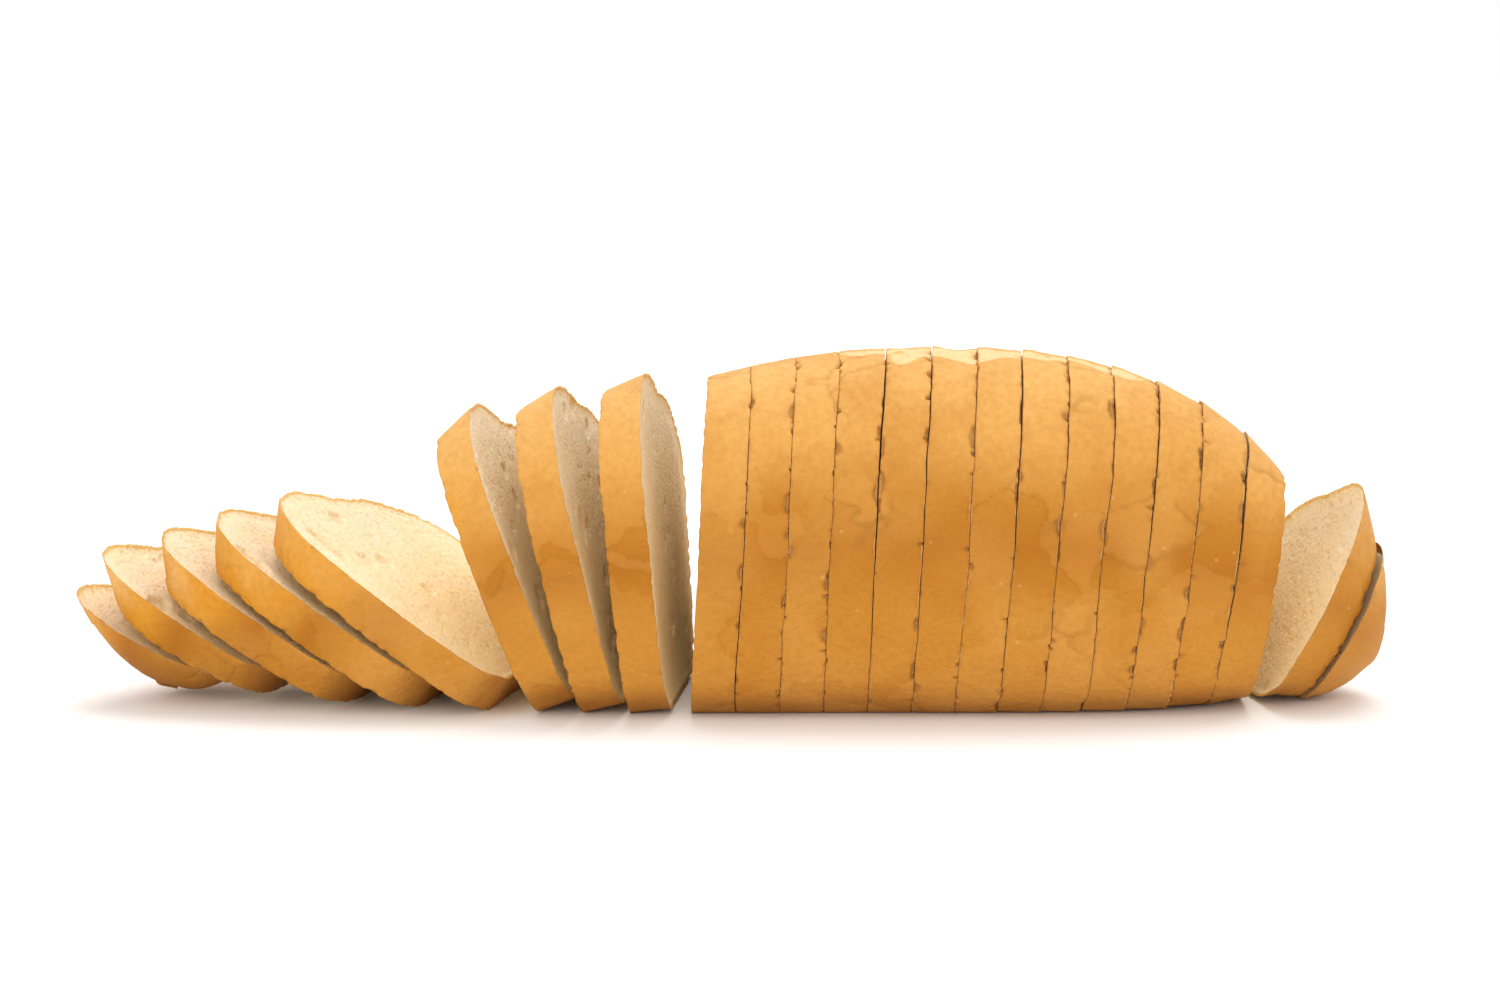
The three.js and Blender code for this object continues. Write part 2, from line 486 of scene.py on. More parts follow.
def ragged_edge(number, places, torn_out, chip_share):
    """How far an edge is frayed, in millimetres: small nicks, where lumps rise above a level, plus chips."""
    nicks = soft_step((lumps(places, 1.8, 40 + number) - 0.48) * 3)
    nicks = nicks + 0.9 * (lumps(places, 4, 60 + number) - 0.3)
    return 0.75 * nicks.clip(0, None) + chip_share * torn_out


print("chips on a standing slice:", CHIPS_LEFT + CHIPS_RIGHT)

# %% [markdown]
# ## The crumb
#
# A cut shows the crumb: a soft open sponge. Each bubble that the knife opened is a round hollow, there are
# many small ones and a few large ones, and near the crust the dough is denser. The very largest hollows
# differ from bubble to bubble, so each has a place and a size of its own. A cut that can be seen is a patch
# between the four sides of the outline, which carries this relief evenly, with no crowded middle. Between the
# standing slices nothing of it can be seen, so their cuts are closed with a few rings instead.

# %% The largest bubbles
# The station in slice thicknesses, across, up, half the reach across and up, and the depth of each.
HOLES = (
    (1, -33.0, 33.5, 6.0, 3.2, 1.7),
    (3, -42.0, 58.0, 2.9, 6.5, 2.3),
    (4, -36.5, 61.0, 3.6, 8.0, 1.5),
    (4, -22.0, 52.0, 4.5, 3.0, 0.8),
    (6, -30.0, 50.0, 3.0, 5.0, 1.2),
)


def holes(places):
    """Depth of the largest bubbles where a cut opened them: a rounded edge at distance 1, then a flat bottom.

    The distance is the hypotenuse of the places across and up, each divided by the bubble's reach."""
    depth = np.zeros(places.shape[:-1])
    wavy = 0.35 * (lumps(places, 3, 25) - 0.5)
    for cut, across, up, reach_across, reach_up, deep in HOLES:
        apart = np.hypot((places[..., 1] - across) / reach_across, (places[..., 2] - up) / reach_up) + wavy
        near_cut = np.abs(places[..., 0] - cut * THICKNESS) < 0.4 * THICKNESS
        depth = depth + deep * soft_step((1.15 - apart) * 2) * near_cut
    return depth


print("largest bubbles:", len(HOLES))

# %% Relief of a cut
SMALL_SHARE, MIDDLE_SHARE, LARGE_SHARE = 0.25, 0.4, 0.34  # of each bubble's true depth
DEEP_HOLLOW = 1.6  # a hollow as deep as this gets the darkest painted shade


def crumb_relief(places, from_rim):
    """How far the crumb lies inside the cut in millimetres, and how deep in a bubble it is, from 0 to 1.

    Lumps, a slight dishing, and bubbles of three sizes, all of which fade out towards the rim."""
    stretched = places * np.array([1.0, 0.8, 1.0])
    shape = soft_step(from_rim / 2.5)
    small = bubbles(stretched, 2.6, 0.6, 21)
    middle = bubbles(stretched, 6.0, 0.12, 22)
    large = bubbles(places * np.array([0.7, 1.0, 0.62]), 15, 0.05, 23) * soft_step((from_rim - 4) / 8)
    hollow = SMALL_SHARE * small + MIDDLE_SHARE * middle + LARGE_SHARE * large + holes(places)
    relief = 0.9 * lumps(places, 20, 24) + 0.13 * lumps(places, 1.7, 25) + 0.5 * soft_step(from_rim / 14)
    return shape * (relief + hollow), np.clip(hollow / DEEP_HOLLOW, 0, 1) * shape


print("bubbles keep", SMALL_SHARE, MIDDLE_SHARE, LARGE_SHARE, "of their depth")

# %% The patch between the four sides
SMOOTHINGS = 400


def side_patch(rim):
    """A grid between the four sides of a rim: each pair of opposite sides is mixed straight across, and the
    mix of the four corners is taken away (a Coons patch).

    Where two sides meet in a round corner this grid would fold over the rim, so each inner point then moves
    to the middle of its four neighbours, many times."""
    n = SIDE
    u = np.linspace(0, 1, n + 1)[:, None, None]
    v = np.linspace(0, 1, n + 1)[None, :, None]
    closed = np.vstack([rim, rim[:1]])
    bottom, right = closed[: n + 1][:, None], closed[n : 2 * n + 1][None]
    top, left = closed[2 * n : 3 * n + 1][::-1][:, None], closed[3 * n :][::-1][None]
    corners = (1 - u) * ((1 - v) * rim[0] + v * rim[3 * n]) + u * ((1 - v) * rim[n] + v * rim[2 * n])
    patch = (1 - v) * bottom + v * top + (1 - u) * left + u * right - corners
    for _ in range(SMOOTHINGS):
        patch[1:-1, 1:-1] = (patch[:-2, 1:-1] + patch[2:, 1:-1] + patch[1:-1, :-2] + patch[1:-1, 2:]) / 4
    return patch


def to_rim(points, rim):
    """How far each point is from the rim, and its nearest rim point: |p - r|^2 = |p|^2 + |r|^2 - 2 p.r."""
    flat, rim = points[..., :2], rim[:, :2]
    squared = (flat**2).sum(axis=-1)[..., None] + (rim**2).sum(axis=-1) - 2 * flat @ rim.T
    return np.sqrt(squared.min(axis=-1).clip(0, None)), squared.argmin(axis=-1)


def patch_numbers():
    """For each point of the patch, the nearest rim point's number, and its steps in from the rim."""
    n = SIDE
    i, j = np.meshgrid(np.arange(n + 1), np.arange(n + 1), indexing="ij")
    steps = np.stack([j, n - i, n - j, i])
    nearest = steps.argmin(axis=0)
    rim_point = np.choose(nearest, [i, n + j, 3 * n - i, (4 * n - j) % (4 * n)])
    return rim_point, steps.min(axis=0)


RIM_POINT, STEPS_IN = patch_numbers()
print("patch of", STEPS_IN.shape, "points,", int((STEPS_IN == 0).sum()), "of them on the rim")

# %% [markdown]
# ## Putting a piece together
#
# The band of crust comes first. Its two end rings are the rims of the cuts, so the cuts use the same points
# and the mesh is closed. The rims are frayed and worn a little, which is what makes the thin dark lines
# between the slices.

# %% The crust band of a piece
FRAYED_OVER, FRAYED_SHARE = 1.5, 0.45  # how far in from the edge it is frayed along the loaf, and how much
WORN_OVER, WORN_SHARE = 0.9, 0.4  # the same for what is worn off inwards


def crust_band(number, outlines, in_loaf, rng):
    """The band's points and marks. Its first and last columns are the rims of the cuts.

    A point moves along the loaf by the wave and swelling of both cuts, each weighted by its nearness, and
    inwards along its normal by the relief and the wear."""
    is_heel = len(outlines) > 2
    grid = skin_grid(outlines, HEEL_COLUMNS if is_heel else COLUMNS)
    normal = outward(grid)
    places = in_loaf(grid)
    relief, marks = crust_relief(places)
    ring = grid[:, 0 if number else -1]
    step = np.linalg.norm(np.roll(ring, -1, axis=0) - ring, axis=1)
    length = step.sum()
    around_mm = np.broadcast_to((step.cumsum() - step)[:, None], relief.shape)
    across_piece = np.linspace(0, 1, grid.shape[1])
    left = cut_wave(number, places) - swelling(number, places)
    right = cut_wave(number + 1, places) + swelling(number + 1, places)
    shift = left * (1 - across_piece) * is_cut(number) + right * across_piece * is_cut(number + 1)
    chip = np.zeros_like(relief)
    worn = np.zeros_like(relief)
    for at_right in (0, 1):
        if not is_cut(number + at_right):
            continue
        into_piece = -1 if at_right else 1
        closed_in = both_stand(number + at_right)
        count = (CHIPS_RIGHT if at_right else CHIPS_LEFT) if closed_in else CHIPS_OPEN
        from_edge = np.abs(grid[..., 2] - grid[:, -at_right, 2][:, None])
        torn_out = chips(around_mm, from_edge, length, count, rng)
        ragged = ragged_edge(number, places, torn_out, 0.8 if closed_in else 0.3)
        near = (1 - soft_step(from_edge / FRAYED_OVER)) * (1 if at_right else 0.8)
        shift = shift + into_piece * ragged * near * FRAYED_SHARE
        worn = worn + ragged * (1 - soft_step(from_edge / WORN_OVER)) * WORN_SHARE
        worn = worn + (0.8 if closed_in else 0.25) * torn_out
        chip = np.maximum(chip, torn_out)
    resting = 1.0 if is_heel else soft_step(places[..., 2] / 1.5)
    points = grid - normal * (relief + worn * resting)[..., None]
    points[..., 2] += shift
    marks["chip"] = chip
    return points, marks


print("columns of a slice and a heel:", COLUMNS, HEEL_COLUMNS)

# %% A cut that can be seen
FOLLOWS_RIM = 1.2  # how quickly the crumb leaves the level of the worn rim


def open_cut(rim, plane, sign, cut, in_loaf):
    """A cut's points inside its rim, their marks, and the numbers of its faces' corners: four, then three.

    The rim's points are numbered 0 to AROUND - 1, and the cut's own follow. `sign` is 1 at the right of a
    piece and -1 at its left. From the rim's level the crumb sinks to its own as exp(-distance / 1.2)."""
    flat = rim.copy()
    flat[:, 2] = plane
    points = side_patch(flat)
    from_rim, nearest = to_rim(points, flat)
    places = in_loaf(points)
    inwards, hollow = crumb_relief(places, from_rim)
    wave = cut_wave(cut, places)
    worn = sign * (plane + cut_wave(cut, in_loaf(flat)) - rim[:, 2])
    points[..., 2] += wave - sign * (inwards + worn[nearest] * np.exp(-from_rim / FOLLOWS_RIM))
    inside = STEPS_IN > 0
    numbers = np.where(inside, 0, RIM_POINT)
    numbers[inside] = AROUND + np.arange(inside.sum())
    quads = np.stack([numbers[:-1, :-1], numbers[1:, :-1], numbers[1:, 1:], numbers[:-1, 1:]], axis=-1)
    marks = {"hollow": hollow[inside], "from_rim": from_rim[inside]}
    return points[inside], marks, quads.reshape(-1, 4)[:, ::sign], np.empty((0, 3), int)


print("faces of an open cut:", SIDE * SIDE)

# %% A cut that can't be seen, or a heel's tip
RING_SHARES = (0.992, 0.975, 0.94, 0.88, 0.8, 0.7, 0.58, 0.44, 0.3, 0.15)
HIDDEN_HOLLOW = 0.12  # how far the middle lies inside the rim, in millimetres
HALF_SLICE = 50  # about how far a slice's middle is from its rim


def closed_cut(rim, plane, sign, cut, in_loaf):
    """The same as open_cut gives, made of shrunken copies of the rim and a fan to a middle point."""
    flat = rim.copy()
    flat[:, 2] = plane
    middle = flat.mean(axis=0)
    shares = np.array(RING_SHARES)[:, None, None]
    rings = middle + shares * (flat - middle)
    places = in_loaf(rings)
    inwards = HIDDEN_HOLLOW * soft_step((1 - shares[..., 0]) * 8)
    rings[..., 2] += cut_wave(cut, places) + sign * (swelling(cut, places) - inwards)
    numbers = np.vstack([np.arange(AROUND), AROUND + np.arange(rings.size // 3).reshape(-1, AROUND)])
    following = np.roll(numbers, -1, axis=1)
    quads = np.stack([numbers[:-1], following[:-1], following[1:], numbers[1:]], axis=-1).reshape(-1, 4)
    centre = AROUND + rings.size // 3
    fan = np.stack([numbers[-1], following[-1], np.full(AROUND, centre)], axis=-1)
    points = np.vstack([rings.reshape(-1, 3), [[middle[0], middle[1], rings[-1, :, 2].mean()]]])
    from_rim = np.append(np.repeat((1 - shares[:, 0, 0]) * HALF_SLICE, AROUND), HALF_SLICE)
    marks = {"hollow": np.zeros(len(points)), "from_rim": from_rim}
    return points, marks, quads[:, ::sign], fan[:, ::sign]


print("rings of a closed cut:", len(RING_SHARES))

# %% [markdown]
# ## From arrays to Blender
#
# `foreach_set` hands whole arrays to a mesh. The marks become attributes that the finishes read: how high
# each point stood in the loaf, how far it is from the rim, and where the crust is cracked, chipped or torn.
# Two more marks vary the colour: every slice's crust has a tone of its own, a little paler or darker than its
# neighbour's, and the crown is more golden at the loaf's left end.

# %% Build a mesh
MARKS = ("rise", "tone", "golden", "from_rim", "hollow", "crack", "plate", "chip", "torn")
CRUST_FACE, CRUMB_FACE = 0, 1  # the numbers of the two materials


def fill_mesh(name, points, quads, triangles, finishes, marks):
    """A smooth closed mesh in metres. `finishes` gives the material number of each face."""
    mesh = bpy.data.meshes.new(name)
    corners = np.concatenate([quads.ravel(), triangles.ravel()])
    sizes = np.concatenate([np.full(len(quads), 4), np.full(len(triangles), 3)])
    mesh.vertices.add(len(points))
    mesh.vertices.foreach_set("co", (points * MM).astype(np.float32).ravel())
    mesh.loops.add(len(corners))
    mesh.loops.foreach_set("vertex_index", corners.astype(np.int32))
    mesh.polygons.add(len(sizes))
    mesh.polygons.foreach_set("loop_start", np.concatenate([[0], sizes.cumsum()[:-1]]).astype(np.int32))
    mesh.polygons.foreach_set("material_index", finishes.astype(np.int32))
    mesh.update(calc_edges=True)
    mesh.shade_smooth()
    for mark in MARKS:
        layer = mesh.attributes.new(mark, "FLOAT", "POINT")
        layer.data.foreach_set("value", marks[mark].astype(np.float32))
    bread = bpy.data.objects.new(name, mesh)
    scene.collection.objects.link(bread)
    return bread


print("marks:", MARKS)

# %% Shape of a piece
def shape_piece(number, outlines, in_loaf, rng):
    """A piece's points, four- and three-cornered faces, their finishes, and its marks. It joins the crust
    band and what closes its two ends: an open cut, a closed cut, or the tip of a heel."""
    band, crust_marks = crust_band(number, outlines, in_loaf, rng)
    columns = band.shape[1]
    points = [band.reshape(-1, 3)]
    no_marks = np.zeros(AROUND * columns)
    marks = {mark: [crust_marks[mark].ravel() if mark in crust_marks else no_marks] for mark in MARKS}
    index = np.arange(AROUND * columns).reshape(AROUND, columns)
    following = np.roll(index, -1, axis=0)
    band_faces = np.stack([index[:, :-1], following[:, :-1], following[:, 1:], index[:, 1:]], axis=-1)
    quads = [band_faces.reshape(-1, 4)]
    triangles = [np.empty((0, 3), int)]
    finishes = [np.full(len(quads[0]), CRUST_FACE)]
    fan_finishes = []
    for sign, column in ((-1, 0), (1, columns - 1)):
        cut = number if sign < 0 else number + 1
        close = open_cut if is_cut(cut) and not both_stand(cut) else closed_cut
        plane = outlines[0 if sign < 0 else -1][1]
        inner, cut_marks, cut_quads, cut_fan = close(band[:, column], plane, sign, cut, in_loaf)
        rim, own = index[:, column], sum(len(part) for part in points) - AROUND
        for faces, made in ((cut_quads, quads), (cut_fan, triangles)):
            made.append(np.where(faces < AROUND, rim[faces % AROUND], faces + own))
        finish = CRUMB_FACE if is_cut(cut) else CRUST_FACE
        finishes.append(np.full(len(cut_quads), finish))
        fan_finishes.append(np.full(len(cut_fan), finish))
        points.append(inner)
        for mark in MARKS:
            marks[mark].append(cut_marks.get(mark, np.zeros(len(inner))))
    marks = {mark: np.concatenate(parts) for mark, parts in marks.items()}
    finishes = np.concatenate(finishes + fan_finishes)
    return np.vstack(points), np.vstack(quads), np.vstack(triangles), finishes, marks


print("a piece is a crust band that is closed at both ends")

# %% Make all the pieces
FIRST_SEED = 100
GOLDEN_ENDS, GOLDEN_FADES_OVER = 5.2, 1.5  # in slice thicknesses


def make_piece(number, node):
    """Makes one piece of bread, with its marks for the finishes, and puts it in its place in the frame."""
    rng = np.random.default_rng(FIRST_SEED + number)
    axes, outlines = read_piece(node)
    in_loaf = way_back(number, outlines)
    points, quads, triangles, finishes, marks = shape_piece(number, outlines, in_loaf, rng)
    places = in_loaf(points)
    crest = np.ptp(first_cut(number, outlines)[0][:, 1])
    marks["rise"] = places[:, 2] / crest + 0.09 * (lumps(places, 38, 51) - 0.5)
    marks["tone"] = lumps(places, 15, 52) + rng.uniform(-0.3, 0.4)
    left_end = soft_step((GOLDEN_ENDS - places[:, 0] / THICKNESS) / GOLDEN_FADES_OVER)
    marks["golden"] = left_end * soft_step((marks["rise"] - 0.5) * 4)
    placed_points = points @ axes
    placed_points[:, 2] = placed_points[:, 2].clip(0, None)
    bread = fill_mesh(node + "_bread", placed_points, quads, triangles, finishes, marks)
    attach(bread, "root")
    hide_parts(node)
    return bread


loaf = [make_piece(number, node) for number, node in enumerate(PIECES)]
counts = [2 * len(o.data.polygons) for o in loaf]
print("pieces:", len(loaf), "triangles, at most:", sum(counts), "largest:", max(counts))

# %% [markdown]
# ## Finishes
#
# Both finishes need the same two effects: mottling, which is noise of a broad and a fine size, and spots,
# which are small round marks in some of the cells of a pattern. Each is a node group, built once and placed
# in both materials with its own values. Patterns finer than the mesh live only here, as colour and as a bump.

# %% Nodes that work on numbers
def link(tree, source, target):
    """Links an output socket to an input socket."""
    tree.links.new(source, target)


def maths(tree, operation, first, second=None, clamp=False):
    """A Math node. Its inputs are sockets or numbers, and it gives its output socket."""
    node = tree.nodes.new("ShaderNodeMath")
    node.operation = operation
    node.use_clamp = clamp
    for socket, value in zip(node.inputs, (first, second)):
        if value is None:
            continue
        if isinstance(value, (int, float)):
            socket.default_value = value
        else:
            link(tree, value, socket)
    return node.outputs[0]


def less(tree, value, mask, share):
    """A value minus a share of a mask."""
    return maths(tree, "SUBTRACT", value, maths(tree, "MULTIPLY", mask, share))


def more(tree, value, mask, share):
    """A value plus a share of a mask."""
    return maths(tree, "ADD", value, maths(tree, "MULTIPLY", mask, share))


def between(tree, value, low, high):
    """A Map Range node that turns low..high into 0..1, smoothly and clamped."""
    node = tree.nodes.new("ShaderNodeMapRange")
    node.interpolation_type = "SMOOTHSTEP"
    node.inputs["From Min"].default_value = low
    node.inputs["From Max"].default_value = high
    link(tree, value, node.inputs["Value"])
    return node.outputs["Result"]


def below(tree, value, low, high):
    """The opposite of `between`: 1 below the low value and 0 above the high one."""
    return maths(tree, "SUBTRACT", 1.0, between(tree, value, low, high))


def mark_value(tree, name):
    """One of the mesh's marks."""
    node = tree.nodes.new("ShaderNodeAttribute")
    node.attribute_name = name
    return node.outputs["Fac"]


print("number helpers ready")

# %% Nodes that work on colours
MIX_FACTOR, MIX_UNDER, MIX_OVER, MIX_COLOUR = 0, 6, 7, 2  # the sockets of a Mix node that is set to colours


def mix_colour(tree, share, under, over):
    """A Mix node for colours: `over` on `under` by a share. The share is a socket, and each of the two others
    is a socket or a colour."""
    node = tree.nodes.new("ShaderNodeMix")
    node.data_type = "RGBA"
    link(tree, share, node.inputs[MIX_FACTOR])
    for number, value in ((MIX_UNDER, under), (MIX_OVER, over)):
        if isinstance(value, tuple):
            node.inputs[number].default_value = (*value, 1.0)
        else:
            link(tree, value, node.inputs[number])
    return node.outputs[MIX_COLOUR]


def tint(tree, colour, mask, share, over):
    """A colour with another on it, as much as a mask says, times a share."""
    return mix_colour(tree, maths(tree, "MULTIPLY", mask, share), colour, over)


print("colour helpers ready")

# %% The mottling group
def new_group(name, inputs, outputs):
    """An empty node group with named number inputs beside its Vector, and named number outputs."""
    group = bpy.data.node_groups.new(name, "ShaderNodeTree")
    group.interface.new_socket("Vector", in_out="INPUT", socket_type="NodeSocketVector")
    for socket, value in inputs.items():
        made = group.interface.new_socket(socket, in_out="INPUT", socket_type="NodeSocketFloat")
        made.default_value = value
    for socket in outputs:
        group.interface.new_socket(socket, in_out="OUTPUT", socket_type="NodeSocketFloat")
    return group, group.nodes.new("NodeGroupInput"), group.nodes.new("NodeGroupOutput")


mottling, given, gives = new_group("bread_mottling", {"Broad": 120.0, "Fine": 900.0}, ("Broad", "Fine"))
for socket, detail in (("Broad", 3.0), ("Fine", 2.0)):
    noise = mottling.nodes.new("ShaderNodeTexNoise")
    noise.inputs["Detail"].default_value = detail
    link(mottling, given.outputs["Vector"], noise.inputs["Vector"])
    link(mottling, given.outputs[socket], noise.inputs["Scale"])
    link(mottling, noise.outputs["Fac"], gives.inputs[socket])
print("group", mottling.name)

# %% The spots group
SPOT_SHARPNESS = 6.0  # the edge of a spot is one sixth of a cell wide

spots, given, gives = new_group("bread_spots", {"Scale": 600.0, "Radius": 0.3, "Share": 0.3}, ("Mask",))
cells = spots.nodes.new("ShaderNodeTexVoronoi")
link(spots, given.outputs["Vector"], cells.inputs["Vector"])
link(spots, given.outputs["Scale"], cells.inputs["Scale"])
inside = maths(spots, "SUBTRACT", given.outputs["Radius"], cells.outputs["Distance"])
inside = maths(spots, "MULTIPLY", inside, SPOT_SHARPNESS, clamp=True)
parts = spots.nodes.new("ShaderNodeSeparateColor")
link(spots, cells.outputs["Color"], parts.inputs["Color"])
chosen = maths(spots, "LESS_THAN", parts.outputs["Red"], given.outputs["Share"])
link(spots, maths(spots, "MULTIPLY", inside, chosen), gives.inputs["Mask"])
print("group", spots.name)

# %% A new bread material
SPECULAR = 0.2


def new_bread(name, roughness):
    """A material with its Principled BSDF's plain values set, and its place on the piece as a vector."""
    material = bpy.data.materials.new(name)
    material.use_nodes = True
    tree = material.node_tree
    surface = tree.nodes["Principled BSDF"]
    surface.inputs["Roughness"].default_value = roughness
    surface.inputs["Specular IOR Level"].default_value = SPECULAR
    place = tree.nodes.new("ShaderNodeTexCoord").outputs["Object"]
    return material, tree, surface, place


def placed(tree, group, place, **values):
    """A node group in a material, with its own values."""
    node = tree.nodes.new("ShaderNodeGroup")
    node.node_tree = group
    link(tree, place, node.inputs["Vector"])
    for socket, value in values.items():
        node.inputs[socket].default_value = value
    return node


def add_bump(tree, surface, height, depth):
    """A bump of the given depth in metres for a height from 0 to 1."""
    bump = tree.nodes.new("ShaderNodeBump")
    bump.inputs["Distance"].default_value = depth
    link(tree, height, bump.inputs["Height"])
    link(tree, bump.outputs["Normal"], surface.inputs["Normal"])


print("material helpers ready")

# %% [markdown]
# ### Crust
#
# In its tin the loaf's sides brown most at half height. The crown rose free of the tin and stayed a paler
# golden colour, made paler still by painted light from above, and the lower sides are paler again, while
# painted shade darkens the very base. Cracks are painted dark as shade, chips show torn crumb darkened with
# painted shade, and the split along the crest shows pale bread. The surface is almost matt. A ramp of baked
# colours, painted light and painted shade over the height does most of it, because it needs no picture, and
# thin layers of colour vary it from spot to spot.

# %% Crust colours
# Baked colours from base to crown, with painted shade at the very base (the first stop is darker than the next)
# and painted light that makes the crown's top stops paler.
BAKED_AND_LIT = (
    (0.00, (0.40, 0.150, 0.014)),
    (0.10, (0.56, 0.235, 0.026)),
    (0.30, (0.51, 0.210, 0.018)),
    (0.48, (0.39, 0.135, 0.003)),
    (0.61, (0.46, 0.175, 0.010)),
    (0.78, (0.67, 0.325, 0.070)),
    (1.00, (0.78, 0.430, 0.130)),
)
DARKER_PATCH = (0.46, 0.16, 0.008)
PALER_SLICE = (0.68, 0.34, 0.075)
GOLDEN_END = (0.66, 0.27, 0.006)
FINE_FLECK = (0.36, 0.13, 0.012)
BLISTER = (0.80, 0.52, 0.22)
RAISED_PLATE = (0.72, 0.37, 0.09)
# Painted shade for the cracks.
CRACK_SHADE = (0.30, 0.11, 0.010)
# Painted shade for the chips: torn crumb coloured as it looks in shade.
SHADED_CHIP = (0.40, 0.190, 0.050)
TORN_BREAD = (0.80, 0.555, 0.265)
print("baked colours from base to crown:", len(BAKED_AND_LIT))

# %% Crust material
crust, tree, surface, place = new_bread("golden_crust", 0.62)
# The ramp gives the baked colours together with the painted shade at the base and the painted light on the
# crown.
baked = tree.nodes.new("ShaderNodeValToRGB")
stops = baked.color_ramp.elements
while len(stops) < len(BAKED_AND_LIT):
    stops.new(0.5)
for stop, (height, colour) in zip(stops, BAKED_AND_LIT):
    stop.position = height
    stop.color = (*colour, 1.0)
link(tree, mark_value(tree, "rise"), baked.inputs["Fac"])
mottled = placed(tree, mottling, place, Broad=55.0, Fine=520.0)
grainy = placed(tree, mottling, place, Broad=1400.0, Fine=3200.0)
blisters = placed(tree, spots, place, Scale=210.0, Radius=0.16, Share=0.13)
broad, fine, blister = mottled.outputs["Broad"], mottled.outputs["Fine"], blisters.outputs["Mask"]

colour = tint(tree, baked.outputs["Color"], between(tree, broad, 0.42, 0.72), 0.4, DARKER_PATCH)
colour = tint(tree, colour, between(tree, mark_value(tree, "tone"), 0.45, 0.95), 0.3, PALER_SLICE)
golden = maths(tree, "MULTIPLY", mark_value(tree, "golden"), between(tree, broad, 0.25, 0.6))
colour = tint(tree, colour, golden, 0.75, GOLDEN_END)
colour = tint(tree, colour, between(tree, fine, 0.3, 0.75), 0.24, FINE_FLECK)
colour = tint(tree, colour, blister, 0.38, BLISTER)
colour = tint(tree, colour, between(tree, mark_value(tree, "plate"), 0.75, 0.2), 0.13, RAISED_PLATE)
# Painted shade in the open cracks: a dark line in grooves too narrow for the mesh to shade.
colour = tint(tree, colour, mark_value(tree, "crack"), 0.3, CRACK_SHADE)
# Painted shade on the chips: the torn crumb in each notch is painted dark brown, as if in shade.
colour = tint(tree, colour, between(tree, mark_value(tree, "chip"), 0.4, 0.9), 0.6, SHADED_CHIP)
torn = between(tree, mark_value(tree, "torn"), 0.2, 0.8)
patchy = maths(tree, "ADD", between(tree, fine, 0.25, 0.5), 0.3)
colour = mix_colour(tree, maths(tree, "MULTIPLY", torn, patchy, clamp=True), colour, TORN_BREAD)
link(tree, colour, surface.inputs["Base Color"])

height = maths(tree, "MULTIPLY", fine, 0.55)
height = more(tree, height, grainy.outputs["Broad"], 0.4)
height = more(tree, height, grainy.outputs["Fine"], 0.12)
height = more(tree, height, blister, 0.3)
add_bump(tree, surface, height, 0.8 * MM)
print("material", crust.name, len(tree.nodes), "nodes")

# %% [markdown]
# ### Crumb
#
# The crumb is cream and dense under the crust. Low in the loaf it is painted brighter and warmer, a painted
# glow of light shining through the bread, and in the bubbles and pores it is darker with painted shade. Its
# rim is the crust seen edge on: a thin golden line. Pores of two sizes, smaller than the modelled bubbles,
# fill the rest. Light goes a little way into bread, so this finish has some scattering under its surface.

# %% Crumb colours
CREAM, WARM_CREAM = (0.87, 0.71, 0.49), (0.85, 0.665, 0.42)
# Painted glow for the crumb low in the loaf.
LOW_CRUMB_GLOW = (0.95, 0.735, 0.40)
SPONGY_CRUMB = (0.78, 0.58, 0.32)
# Painted shade for the bubbles.
BUBBLE_SHADE = (0.74, 0.52, 0.24)
# Painted shade for the pores.
PORE_SHADE = (0.66, 0.44, 0.19)
DENSE_CRUMB = (0.86, 0.70, 0.44)
CRUST_EDGE = (0.62, 0.29, 0.05)
print("cream", CREAM, "to", WARM_CREAM)

# %% Crumb material
crumb, tree, surface, place = new_bread("cream_crumb", 0.9)
surface.inputs["Subsurface Weight"].default_value = 0.35
surface.inputs["Subsurface Scale"].default_value = 4 * MM
surface.inputs["Subsurface Radius"].default_value = (0.8, 0.6, 0.35)
mottled = placed(tree, mottling, place, Broad=70.0, Fine=1100.0)
pores = placed(tree, spots, place, Scale=620.0, Radius=0.42, Share=0.55).outputs["Mask"]
small_pores = placed(tree, spots, place, Scale=1500.0, Radius=0.45, Share=0.6).outputs["Mask"]
broad, fine = mottled.outputs["Broad"], mottled.outputs["Fine"]

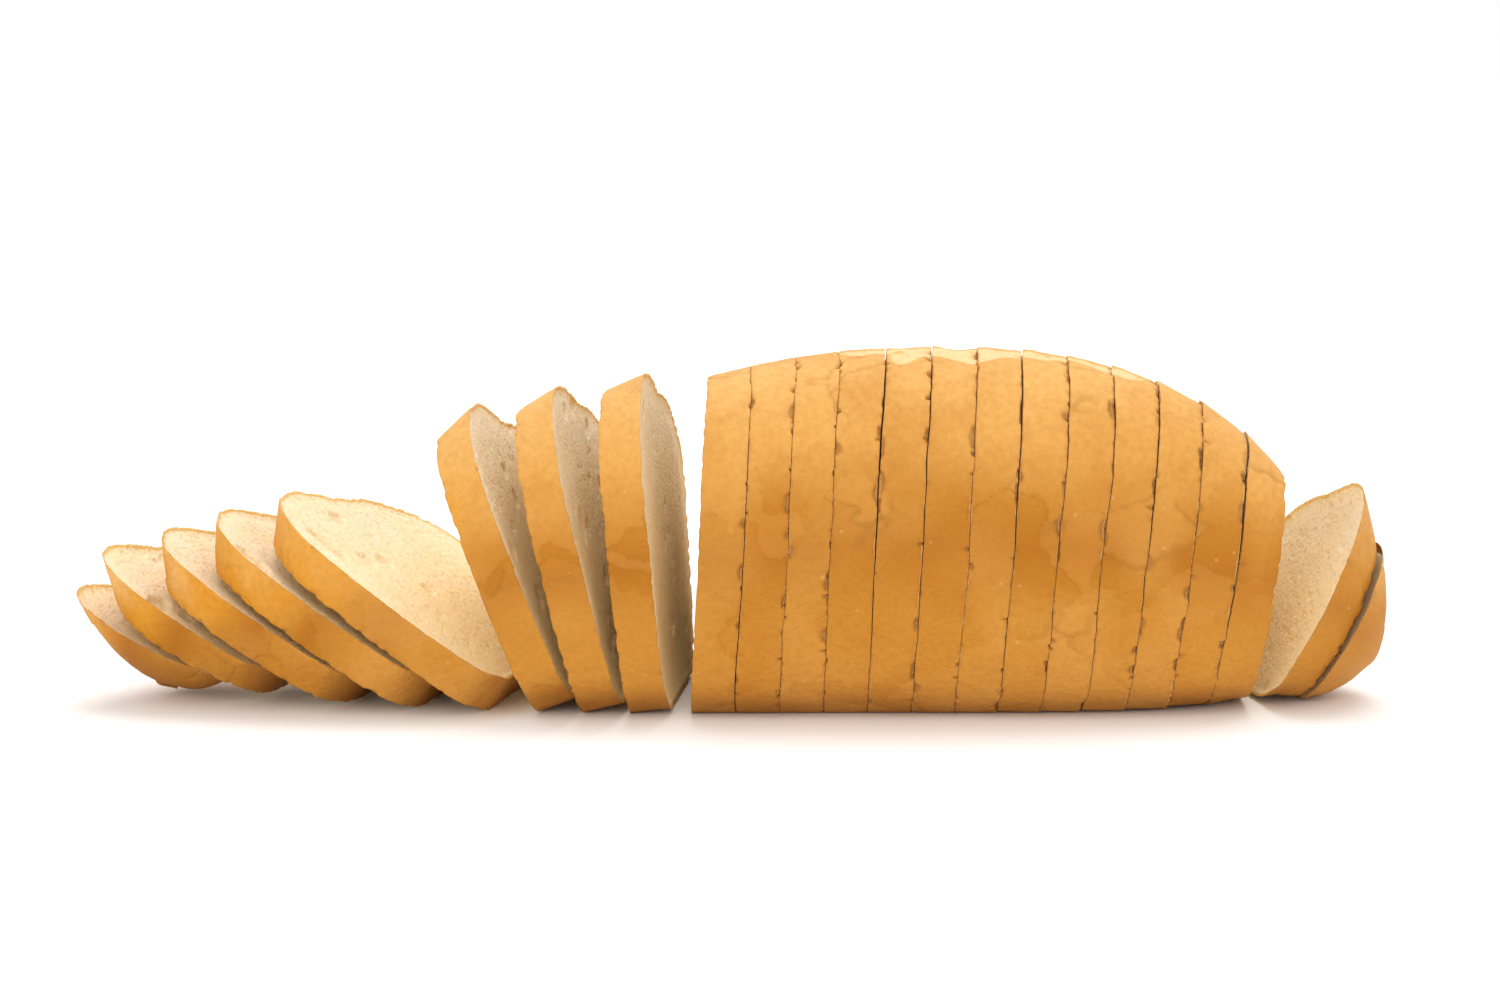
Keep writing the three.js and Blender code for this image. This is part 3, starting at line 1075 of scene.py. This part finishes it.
colour = mix_colour(tree, between(tree, broad, 0.35, 0.7), CREAM, WARM_CREAM)
# Painted glow: the crumb low in the loaf is painted brighter and warmer, standing in for light shining through
# the bread.
colour = tint(tree, colour, below(tree, mark_value(tree, "rise"), 0.35, 0.9), 0.6, LOW_CRUMB_GLOW)
colour = tint(tree, colour, between(tree, fine, 0.45, 0.75), 0.35, SPONGY_CRUMB)
# Painted shade in the bubbles: the deeper the hollow, the darker the crumb.
colour = tint(tree, colour, between(tree, mark_value(tree, "hollow"), 0.1, 1.0), 0.42, BUBBLE_SHADE)
# Painted shade in the pores: small dark spots where the holes are too small for the mesh.
colour = tint(tree, colour, pores, 0.16, PORE_SHADE)
colour = tint(tree, colour, small_pores, 0.08, PORE_SHADE)
from_rim = less(tree, mark_value(tree, "from_rim"), fine, 1.1)
colour = tint(tree, colour, below(tree, from_rim, 0.6, 5.0), 0.45, DENSE_CRUMB)
colour = tint(tree, colour, below(tree, from_rim, -0.1, 0.9), 0.85, CRUST_EDGE)
link(tree, colour, surface.inputs["Base Color"])

height = less(tree, less(tree, fine, pores, 0.8), small_pores, 0.4)
add_bump(tree, surface, height, 0.3 * MM)
print("material", crumb.name, len(tree.nodes), "nodes")

# %% Give the pieces their finishes
for bread in loaf:
    bread.data.materials.append(crust)
    bread.data.materials.append(crumb)
print("finishes:", [material.name for material in loaf[0].data.materials])

# %% [markdown]
# ## The table
#
# The table is plain and white, far wider than the view, with the faintest unevenness so that it isn't one
# flat colour. It is a stage and not part of the loaf.

# %% Table
TABLE_REACH = 40.0
TABLE_WHITE, TABLE_WHITER = (0.90, 0.90, 0.89), (0.92, 0.92, 0.92)

table_top = bpy.data.meshes.new("table")
corners = [(-TABLE_REACH, -TABLE_REACH, 0), (TABLE_REACH, -TABLE_REACH, 0)]
corners += [(TABLE_REACH, TABLE_REACH, 0), (-TABLE_REACH, TABLE_REACH, 0)]
table_top.from_pydata(corners, [], [(0, 1, 2, 3)])
table = bpy.data.objects.new("table", table_top)
scene.collection.objects.link(table)
white, tree, surface, place = new_bread("white_table", 0.8)
mottled = placed(tree, mottling, place, Broad=3.0, Fine=60.0)
colour = mix_colour(tree, mottled.outputs["Broad"], TABLE_WHITE, TABLE_WHITER)
link(tree, colour, surface.inputs["Base Color"])
table_top.materials.append(white)
print("table", 2 * TABLE_REACH, "m wide")
